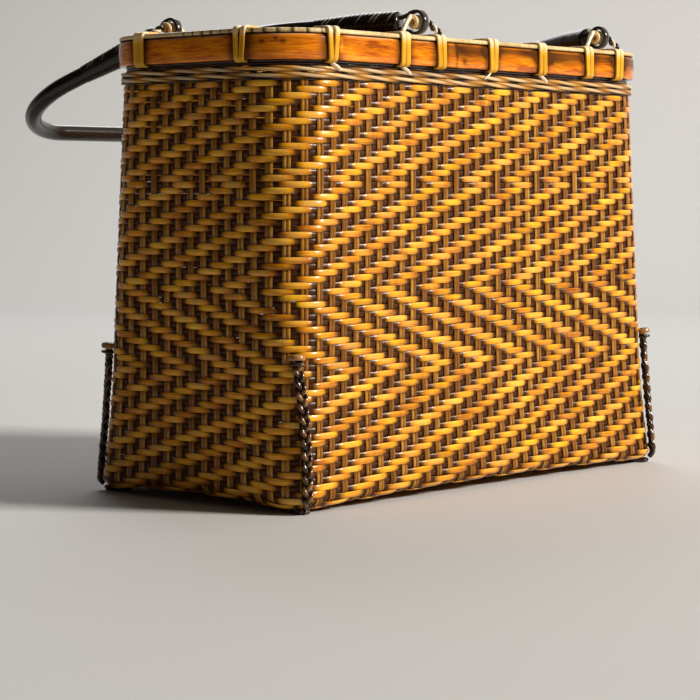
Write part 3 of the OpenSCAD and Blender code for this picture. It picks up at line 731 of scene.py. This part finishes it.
def lashStrand(way, hand, manner):
    # one strand of a pair: from the wall round the outer hoop, the cane and the inner hoop, back to the wall
    spread, widthShare, offShare = lash[manner]
    out, inside, top, bottom = lash["out"], lash["inside"], lash["top"], lash["bottom"]
    loop = filleted([(lash["start"], bottom), (out, bottom), (out, top), (inside, top), (inside, bottom),
                     (lash["end"], bottom)], lash["bend"], lash["bendSteps"])
    loop = evenly(loop, lash["spacing"])
    lean = hand * spread + chance.normal() * lash["lean"]
    point, outward, _ = wallAt(way / rim["girth"], rim["lineHeight"])
    along = np.cross(outward, upright)
    slide = hand * lashGap * offShare + lean * (loop[:, 1] - (top + bottom) / 2)
    path = point * (1, 1, 0) + outward * loop[:, :1] + upright * loop[:, 1:] + along * slide[:, None]
    ahead = unit(np.gradient(path, axis=0))
    up = unit(repeated(along, len(loop)) - ahead * (ahead @ along)[:, None])
    side = np.cross(up, ahead)
    profile = np.array(lash["shape"]) * (lash["thick"] / 2, lash["width"] / 2 * widthShare)
    profile = profile * (-1 if (side[len(side) // 4] @ outward) < 0 else 1, 1)
    # painted light: a strand is paler towards its top as painted highlight and darker low down as painted
    # shade
    tone = toned((loop[:, 1] - bottom) / (top - bottom), lash["tone"])
    age = np.where(loop[:, 0] > 0, tone, lash["insideAge"])[:, None]
    return sweepStrip(path, side, up, profile, (wayAlong(path), way * lash["seedStep"] + hand), age)


def lashTail(way, lean, seed):
    # the loose end of a strand, tucked through the twine under the hoop
    point, outward, _ = wallAt(way / rim["girth"], lash["tailHeight"])
    along = np.cross(outward, upright)
    ground = point * (1, 1, 0)
    path = [ground + along * (lean * x) + outward * n + upright * z for x, n, z in lash["tailPath"]]
    return strand(smoothLine(path, lash["tailSpacing"]), *lash["tailHalf"], seed, lash["tailAge"])


lashes = []
for way in lashWays:
    manner = "splayed" if fromMiddle(way) < lash["splayedBefore"] else "close"
    lashes += [lashStrand(way, hand, manner) for hand in (-1, 1)]
tails = [lashTail(way + turn * rim["girth"] / 2, hand * lash["tailLean"], way * lash["tailSeedStep"])
         for turn in (0, 1) for way, hand in lash["tails"]]
addPiece("rim_lashing_strands", lashes + tails, goldRattan, "bag", ["rim_lashings"])


# Corner braids: three dark strands plaited up each lower corner, capped at the top, tucked under the base

braid = {
    "low": 3.0, "top": 75.8, "out": 3.0, "turnLow": 60.0, "turnTop": 50.0, "bow": 1.9, "tuck": 4.0,
    "strands": 3, "pitch": 17.0, "swing": 1.7, "depth": 0.8, "half": (1.15, 1.3), "samples": 150,
    "startGap": 0.4, "drawnIn": (0.05, 0.03), "drawnLeast": 0.3, "drift": 0.35, "turnDrift": 0.1,
    "swayDrift": 0.6, "depthDrift": 0.3, "tone": (0.4, -0.25, -0.8, 0.75), "toneDrift": 0.8, "seedStep": 2.3,
}
cap = {"heights": (73.9, 70.6), "radius": 3.35, "thick": 0.85, "half": (1.6, 0.8), "ages": (0.55, -0.1),
       "reach": 125, "sag": 1.1, "samples": 36}
foot = {"length": 11.0, "inset": 4.7, "half": 1.4, "gap": 1.9, "lift": 0.02, "past": 2.2, "sway": 0.25,
        "swayPace": 0.7, "samples": 24, "age": -0.2, "blunt": 1.4}
corners = [(-1, -1, "front_left"), (1, -1, "front_right"), (-1, 1, "back_left"), (1, 1, "back_right")]


def cornerPoint(z, turn):
    a, b, r = sizesAt(z)
    return np.append(circle(math.radians(turn), r + braid["out"]) + (a - r, b - r), z)


braidLow = cornerPoint(braid["low"], braid["turnLow"])
braidTop = cornerPoint(braid["top"], braid["turnTop"])
tuckWay = np.append(circle(math.radians(braid["turnLow"]), 1), 0.0)


def braidAxis(z):
    # a slightly bowed line up the corner whose lower end bends in under the base
    z = np.asarray(z, float)[..., None]
    drop = np.clip(braid["low"] + braid["tuck"] - z, 0, braid["tuck"])
    inset = braid["tuck"] - np.sqrt(braid["tuck"] ** 2 - drop ** 2)
    share = (z - braidLow[2]) / (braidTop[2] - braidLow[2])
    bow = np.cross(upright, tuckWay) * braid["bow"] * np.sin(halfTurn * np.clip(share, 0, 1))
    return braidLow + (braidTop - braidLow) * share + bow - tuckWay * inset


def cornerMirror(part, signX, signY):
    part["points"] = part["points"] * (signX, signY, 1)
    if signX * signY < 0:
        part["quads"] = part["quads"][:, ::-1]
        part["caps"] = part["caps"][:, ::-1]
    return part


def plaitStrands(seed):
    across = np.array([1.0, -1.0, 0.0]) / math.sqrt(2)
    outward = np.array([1.0, 1.0, 0.0]) / math.sqrt(2)
    share = np.linspace(0, 1, braid["samples"])
    length = braid["top"] - braid["low"]
    axis = braidAxis(braid["low"] + braid["startGap"] + (length - braid["startGap"]) * share)
    startIn, endIn = braid["drawnIn"]
    close = np.clip(np.minimum(share / startIn, (1 - share) / endIn), braid["drawnLeast"], 1)[:, None]
    drift = wander(share, braid["drift"], (1, 2, 3, 5))
    profile = roundProfile(*braid["half"])
    parts = []
    for number in range(braid["strands"]):
        turns = share * length / braid["pitch"] + number / braid["strands"] + braid["turnDrift"] * drift
        turn = fullTurn * turns
        sway = braid["swing"] * np.sin(turn) + braid["swayDrift"] * drift
        rise = braid["depth"] * np.sin(2 * turn) + wander(share, braid["depthDrift"], (3, 5, 7))
        path = axis + (across * sway[:, None] + outward * rise[:, None]) * close
        shade = wander(share, braid["toneDrift"], (5, 7, 9, 13))
        # painted light: a strand is paler where it stands out, as painted highlight, and darker where it
        # sinks, as painted shade, with a random drift of tone
        age = toned(np.sin(2 * turn), braid["tone"], shade)[:, None]
        side, up = carriedFrame(path)
        fibre = (wayAlong(path), seed + number * braid["seedStep"])
        parts.append(sweepStrip(path, side, up, profile, fibre, age))
    return parts


def braidBinding(seed):
    # a thick cap turn over the braid's top and a finer one below it, both run back into the wall
    turn = np.radians(braid["turnTop"] + np.linspace(-cap["reach"], cap["reach"], cap["samples"]))
    sag = cap["sag"] * np.cos(np.linspace(-quarterTurn, quarterTurn, cap["samples"]))
    path = np.concatenate([circle(turn, cap["radius"]), sag[:, None]], 1)
    parts = []
    for number, (height, half, age) in enumerate(zip(cap["heights"], cap["half"], cap["ages"])):
        parts.append(strand(braidAxis(height) + path, cap["thick"], half, seed + number, age))
    return parts


def tuckedFoot(seed):
    # the ends of the three strands run in side by side under the base
    across = np.cross(upright, tuckWay)
    parts = []
    for number in (-1, 0, 1):
        past = foot["past"] - abs(number)
        way = foot["inset"] + np.linspace(-past, foot["length"] + past, foot["samples"])
        sway = number * foot["gap"] + foot["sway"] * np.sin(way * foot["swayPace"] + number)
        path = braidLow * (1, 1, 0) + upright * (foot["half"] + foot["lift"]) - tuckWay * way[:, None]
        path = path + across * sway[:, None]
        parts.append(strand(path, foot["half"], foot["half"], seed + number, foot["age"], foot["blunt"]))
    return parts


for signX, signY, place in corners:
    plait = [cornerMirror(part, signX, signY) for part in plaitStrands(5 + signX + 3 * signY)]
    addPiece("braid_" + place, plait, darkPlait, "bag", ["corner_braid_" + place])
for name, build, node in (("braid_bindings", braidBinding, "corner_braid_bindings"),
                          ("tucked_feet", tuckedFoot, "corner_feet")):
    trim = [cornerMirror(part, x, y) for x, y, _ in sorted(corners) for part in build(x + 2 * y)]
    addPiece(name, trim, darkPlait, "bag", [node])


# Handles: bent cane wrapped in fine black turns, thick bound ends and strip eyes on rattan ties

handle = {
    "span": 77.0, "height": 117.0, "flare": 21.0, "bend": 42.0, "bendSteps": 40, "spacing": 0.4,
    "radius": 4.46, "endStart": 8.4, "endEnd": 54.4, "endRadius": 6.2, "thinRadius": 4.7, "thickShare": 0.45,
    "shoulder": 1.5, "shoulderShare": 0.75, "overlap": 0.6, "hingeY": 65.0, "hingeZ": 237.15,
    "front": {"shift": 22.0, "side": -1, "droop": 2.4}, "back": {"shift": -22.0, "side": 1, "droop": 26.0},
}
fineWrap = {"pitch": 1.6, "groove": 0.11, "starts": 1, "sides": 16, "paleTurns": []}
endWrap = {"pitch": 2.4, "groove": 0.3, "starts": 9, "sides": 72, "paleTurns": [1, 4, 5, 8]}
wrapTone = {"repeat": 11, "sharpness": 6, "pale": 0.7, "paleDepth": 0.02, "groove": 0.8}


def handleLine():
    corner = handle["span"] + handle["height"] * math.tan(math.radians(handle["flare"]))
    bends = [(-handle["span"], 0), (-corner, handle["height"]),
             (corner, handle["height"]), (handle["span"], 0)]
    return evenly(filleted(bends, handle["bend"], handle["bendSteps"]), handle["spacing"])


def placeHandle(part, which):
    # from the handle's own plane (x along the hinge, y away from it, z up) to the bag
    setting = handle[which]
    droop = math.radians(setting["droop"])
    x, y, z = part["points"].T
    away = y * math.cos(droop) + z * math.sin(droop) + setting["side"] * handle["hingeY"]
    up = z * math.cos(droop) - y * math.sin(droop) + handle["hingeZ"]
    part["points"] = np.stack([x + setting["shift"], away, up], -1)
    return part


def woundRod(line, first, last, radiusAt, wrap, seed, which):
    # a rod with the grooves of its wrapping, painted dark as shade, and a few pale turns on its upper side,
    # painted as wear and as highlight
    way = wayAlong(line)
    keep = (way >= first) & (way <= last)
    path = np.concatenate([line, np.zeros((len(line), 1))], 1)
    ahead = unit(np.gradient(path, axis=0))[keep]
    path = path[keep]
    way = way[keep]
    turn = fullTurn * np.arange(wrap["sides"]) / wrap["sides"]
    wound = (way[:, None] / (wrap["pitch"] * wrap["starts"]) - turn[None] / fullTurn) * wrap["starts"]
    dip = np.abs(2 * (wound % 1.0) - 1) ** wrapTone["sharpness"]
    radius = radiusAt(way)[:, None] - wrap["groove"] * dip
    profile = circle(turn, radius)
    chosen = np.isin(np.floor(wound) % wrapTone["repeat"], wrap["paleTurns"])
    pale = np.where(chosen, wrapTone["pale"], 0.0) * np.clip(2 * np.sin(turn)[None], 0, 1)
    pale = pale * (dip < wrapTone["paleDepth"])
    # painted light: the grooves are darkened as shade, and the chosen turns are pale on the upper side as
    # wear and as highlight
    age = np.clip(pale - wrapTone["groove"] * dip, -1, 1)
    up = repeated(upright, len(path))
    return placeHandle(sweepStrip(path, np.cross(ahead, up), up, profile, (way, seed), age), which)


def gripRadius(way):
    return np.full_like(way, handle["radius"])


def endRadius(way):
    share = (way - handle["endStart"]) / (handle["endEnd"] - handle["endStart"])
    taper = np.clip((share - handle["thickShare"]) / (1 - handle["thickShare"]), 0, 1)
    shoulder = np.clip((way - handle["endStart"]) / handle["shoulder"], 0, 1) ** 0.5
    least = handle["shoulderShare"]
    thinning = (handle["endRadius"] - handle["thinRadius"]) * taper
    return (handle["endRadius"] - thinning) * (least + (1 - least) * shoulder)


eye = {
    "radius": 5.5, "half": (0.75, 2.2), "tail": 10.5, "tailGap": 1.9, "turns": (48, 312), "samples": 44,
    "spacing": 0.8, "age": 0.03, "seed": 3.0,
    "shape": [(-1, -0.8), (0, -1), (1, -0.75), (1, 0.75), (0, 1), (-1, 0.8)],
}


def eyeLoop(which, side):
    # a bent strip round the tie, both tails run into the end binding
    turn = np.radians(np.linspace(*eye["turns"], eye["samples"]))
    line = np.concatenate([[(eye["tail"], eye["tailGap"])], circle(turn, eye["radius"]),
                           [(eye["tail"], -eye["tailGap"])]])
    line = evenly(line, eye["spacing"])
    lean = math.tan(math.radians(handle["flare"])) * side
    x = side * handle["span"] + lean * np.maximum(line[:, 0], 0)
    path = np.stack([x, line[:, 0], line[:, 1]], -1)
    ahead = unit(np.gradient(path, axis=0))
    up = repeated([1.0, 0.0, 0.0], len(path))
    profile = np.array(eye["shape"]) * eye["half"]
    fibre = (wayAlong(path), eye["seed"] + side)
    return placeHandle(sweepStrip(path, np.cross(ahead, up), up, profile, fibre, eye["age"]), which)


fineLine = handleLine()
gripStart = handle["endEnd"] - handle["overlap"]
gripEnd = wayAlong(fineLine)[-1] - handle["endEnd"] + handle["overlap"]
for which in ("front", "back"):
    body = which + "_handle"
    grip = woundRod(fineLine, gripStart, gripEnd, gripRadius, fineWrap, 2.0, which)
    pieces = [("_grip_wrap", "_grip", grip)]
    for side, place in ((-1, "_left"), (1, "_right")):
        line = fineLine if side < 0 else fineLine[::-1]
        ends = woundRod(line, handle["endStart"], handle["endEnd"], endRadius, endWrap, 6.0 + side, which)
        pieces.append(("_end_binding" + place, "_end_binding" + place, ends))
        pieces.append(("_eye_strip" + place, "_eye" + place, eyeLoop(which, side)))
    for name, node, part in pieces:
        addPiece(which + name, [part], blackWrap, body, [body + node])

tie = {
    "coil": 2.55, "half": 1.15, "length": 9.0, "turns": 3.5, "samples": 90,
    "coilAge": 0.5, "paleAge": 0.8, "darkAge": 0.0, "paleHalf": (1.0, 1.3), "paleSpacing": 0.6,
    "paleLeg": [(-7.5, -2.0, 2.2), (-10.5, -2.2, -0.8), (-13.0, -2.4, -4.45), (-14.5, -2.4, -5.45)],
    "twistLeg": [(7.0, -0.5, 0.6), (10.0, -1.6, -1.8), (13.4, -2.6, -4.45), (14.6, -2.8, -5.65)],
    "twistSpacing": 0.5, "twistPitch": 6.0, "twistOut": 0.8, "twistHalf": (0.8, 1.1),
    # each place: name, way along the hinge, and -1 where it is turned half round
    "places": [("front_left", -55.0, 1), ("front_right", 99.0, 1),
               ("back_left", 99.0, -1), ("back_right", -55.0, -1)],
}


def tieStrands(x, turned):
    # a pale coil through the eye, a pale strand to one lashing, a pale and a dark one twisted to the other
    turn = np.linspace(0, fullTurn * tie["turns"], tie["samples"])
    across = np.linspace(-tie["length"] / 2, tie["length"] / 2, tie["samples"])
    coil = np.concatenate([across[:, None], circle(turn, tie["coil"])], 1)
    paleLeg = smoothLine([coil[0]] + tie["paleLeg"], tie["paleSpacing"])
    axis = smoothLine([coil[-1]] + tie["twistLeg"], tie["twistSpacing"])
    side, up = carriedFrame(axis)
    spin = wayAlong(axis) / tie["twistPitch"] * fullTurn
    twist = (side * np.cos(spin)[:, None] + up * np.sin(spin)[:, None]) * tie["twistOut"]
    thin, thick = tie["twistHalf"]
    pale = [strand(coil, tie["half"], tie["half"], x, tie["coilAge"]),
            strand(paleLeg, *tie["paleHalf"], x + 1, tie["paleAge"]),
            strand(axis - twist, thin, thin, x + 3, tie["paleAge"])]
    dark = [strand(axis + twist, thick, thick, x + 2, tie["darkAge"])]
    for part in pale + dark:
        part["points"] = part["points"] + (x, -handle["hingeY"], handle["hingeZ"])
        cornerMirror(part, turned, turned)
    return pale, dark


for place, x, turned in tie["places"]:
    pale, dark = tieStrands(x, turned)
    addPiece("tie_" + place, pale, goldRattan, "bag", ["handle_tie_" + place])
    addPiece("tie_twist_" + place, dark, blackWrap, "bag", ["handle_tie_" + place])


# Studio: a pale floor that sweeps up behind, a soft key from the front right, weak fill above and behind

lens = {"place": (-0.9271, -0.79762, 0.15316), "yaw": 48.29, "pitch": 3.99, "focal": 116.88, "sensor": 36.0,
        "clip": 0.01}
studio = {
    "floor": (0.56, 0.56, 0.56), "floorRoughness": 0.8, "width": 14.0, "front": -8.0, "back": 1.7,
    "sweep": 0.6, "sweepSteps": 16, "wall": 2.6, "world": (0.76, 0.64, 0.52), "worldLevel": 0.04,
    "target": (0.0, 0.0, 0.12),
    "lamps": [("keyLamp", (1.84, -3.43, 2.12), 1.0, 292.0, (1.0, 0.95, 0.87)),
              ("skyLamp", (0.7, -0.6, 2.2), 1.6, 7.0, (1.0, 0.96, 0.90)),
              ("rearLamp", (1.1, 1.3, 1.5), 1.2, 14.0, (0.97, 0.98, 1.0))],
}


def paleSweep():
    # the floor runs along the camera's view and bends up far behind the bag
    bend = studio["sweep"]
    line = [(studio["front"], 0.0)]
    for turn in np.linspace(-quarterTurn, 0, studio["sweepSteps"]):
        line.append((studio["back"] + bend * math.cos(turn), bend * (1 + math.sin(turn))))
    line.append((studio["back"] + bend, studio["wall"]))
    half = studio["width"] / 2
    yaw = math.radians(-lens["yaw"])
    sine, cosine = math.sin(yaw), math.cos(yaw)
    points = []
    for way, z in line:
        for x in (-half, half):
            points.append((x * cosine - way * sine, x * sine + way * cosine, z))
    faces = [(2 * i, 2 * i + 1, 2 * i + 3, 2 * i + 2) for i in range(len(line) - 1)]
    mesh = bpy.data.meshes.new("paleSweep")
    mesh.from_pydata(points, [], faces)
    mesh.polygons.foreach_set("use_smooth", np.ones(len(faces), bool))
    finish = bpy.data.materials.new("palePaper")
    finish.use_nodes = True
    skin = finish.node_tree.nodes["Principled BSDF"]
    skin.inputs["Base Color"].default_value = (*studio["floor"], 1.0)
    skin.inputs["Roughness"].default_value = studio["floorRoughness"]
    mesh.materials.append(finish)
    floor = newObject("paleSweep", mesh)


def aim(thing, place, target):
    thing.location = place
    direction = np.array(target) - np.array(place)
    rise = math.atan2(direction[2], math.hypot(direction[0], direction[1]))
    thing.rotation_euler = (quarterTurn + rise, 0, math.atan2(-direction[0], direction[1]))


paleSweep()
for name, place, size, level, colour in studio["lamps"]:
    lamp = bpy.data.lights.new(name, "AREA")
    lamp.energy = level
    lamp.size = size
    lamp.color = colour
    aim(newObject(name, lamp), place, studio["target"])
world = bpy.data.worlds.new("studioWorld")
world.use_nodes = True
sky = world.node_tree.nodes["Background"]
sky.inputs["Color"].default_value = (*studio["world"], 1.0)
sky.inputs["Strength"].default_value = studio["worldLevel"]
bpy.context.scene.world = world

camera = bpy.data.cameras.new("camera")
camera.lens = lens["focal"]
camera.sensor_width = lens["sensor"]
camera.clip_start = lens["clip"]
cameraObject = newObject("camera", camera)
cameraObject.location = lens["place"]
cameraObject.rotation_euler = (math.radians(90 - lens["pitch"]), 0, math.radians(-lens["yaw"]))
bpy.context.scene.camera = cameraObject
bpy.context.scene.view_settings.view_transform = "Standard"
print("studio set")
